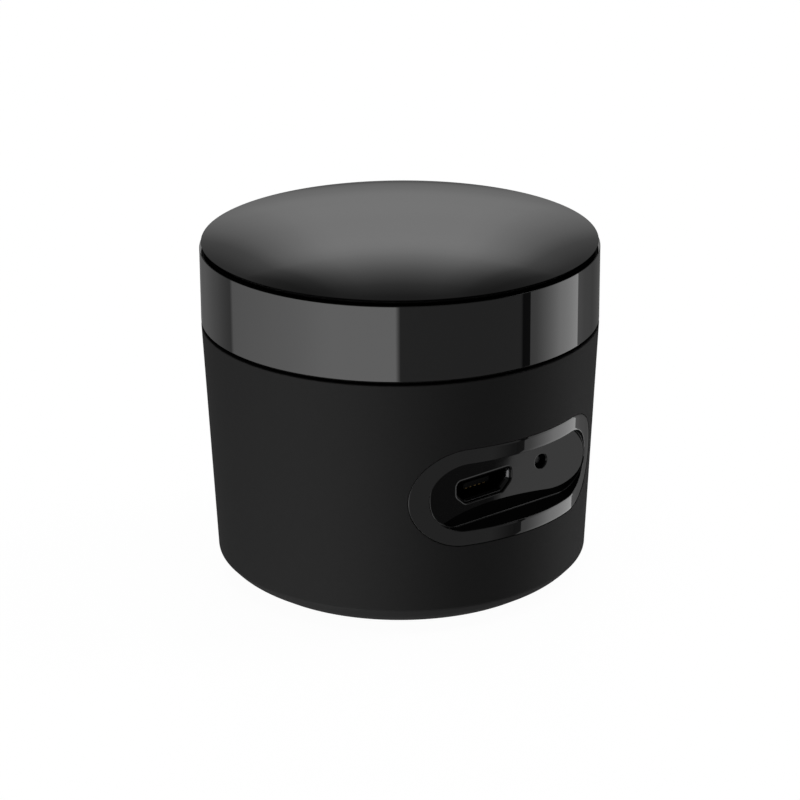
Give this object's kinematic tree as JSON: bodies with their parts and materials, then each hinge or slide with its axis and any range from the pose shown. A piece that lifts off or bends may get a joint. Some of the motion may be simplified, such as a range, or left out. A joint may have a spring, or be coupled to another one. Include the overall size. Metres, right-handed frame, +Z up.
{
  "type": "tabletop infrared remote hub",
  "caption": "Small round tabletop infrared remote hub with a glossy window band, a domed lid, a tapered matte body and a recessed port bay with a reset button.",
  "frame": {"origin": "centre of the rubber foot's underside, on the surface that the hub stands on", "axes": "+Z up along the housing's axis, -Y out of the port bay, +X to the right when the port bay is faced"},
  "size_m": [0.046, 0.046, 0.043],
  "materials": {
    "soft_black": "fine matte soft-touch moulding, black",
    "rubber": "matte black rubber",
    "gloss_black": "polished piano-black moulding",
    "band_black": "polished infrared-pass plastic, black to the eye",
    "dark_plastic": "moulded black plastic and epoxy",
    "natural_plastic": "moulded natural white plastic",
    "smoke_lens": "dark tinted clear epoxy",
    "board_green": "green solder mask",
    "steel": "plated sheet steel",
    "brass": "turned brass",
    "gold": "gold-plated contact"
  },
  "bodies": {
    "housing": {"body_shell": "soft_black", "base_plate": "soft_black", "foot_pad": "rubber", "base_screw_1": "steel", "base_screw_2": "steel", "base_screw_3": "steel", "window_band": "band_black", "seam_gasket": "rubber", "lid_seal": "rubber", "top_lid": "gloss_black", "port_bezel": "gloss_black", "port_plate": "gloss_black", "usb_shell": "steel", "usb_tongue": "dark_plastic", "usb_contact_1": "gold", "usb_contact_2": "gold", "usb_contact_3": "gold", "usb_contact_4": "gold", "usb_contact_5": "gold", "switch_body": "dark_plastic", "switch_cover": "steel", "main_board": "board_green", "wifi_board": "board_green", "wifi_shield": "steel", "control_chip": "dark_plastic", "regulator": "dark_plastic", "power_inductor": "dark_plastic", "crystal": "steel", "capacitor": "steel", "link_header": "dark_plastic", "link_socket": "dark_plastic", "standoff_1": "brass", "standoff_2": "brass", "standoff_3": "brass", "led_board": "board_green", "board_screw_1": "steel", "board_screw_2": "steel", "board_screw_3": "steel", "led_holder": "natural_plastic", "ir_led_1": "smoke_lens", "ir_led_2": "smoke_lens", "ir_led_3": "smoke_lens", "ir_led_4": "smoke_lens", "ir_led_5": "smoke_lens", "ir_led_6": "smoke_lens", "ir_receiver": "smoke_lens", "receiver_shield": "steel", "status_led": "natural_plastic"},
    "button": {"reset_button": "dark_plastic", "switch_plunger": "natural_plastic"}
  },
  "joints": [
    {"name": "reset_press", "type": "slide", "parent": "housing", "child": "button", "axis": [0, 1, 0], "range_m": [0, 0.00035], "stiffness_N_per_m": 400, "springref_m": -0.001}
  ]
}
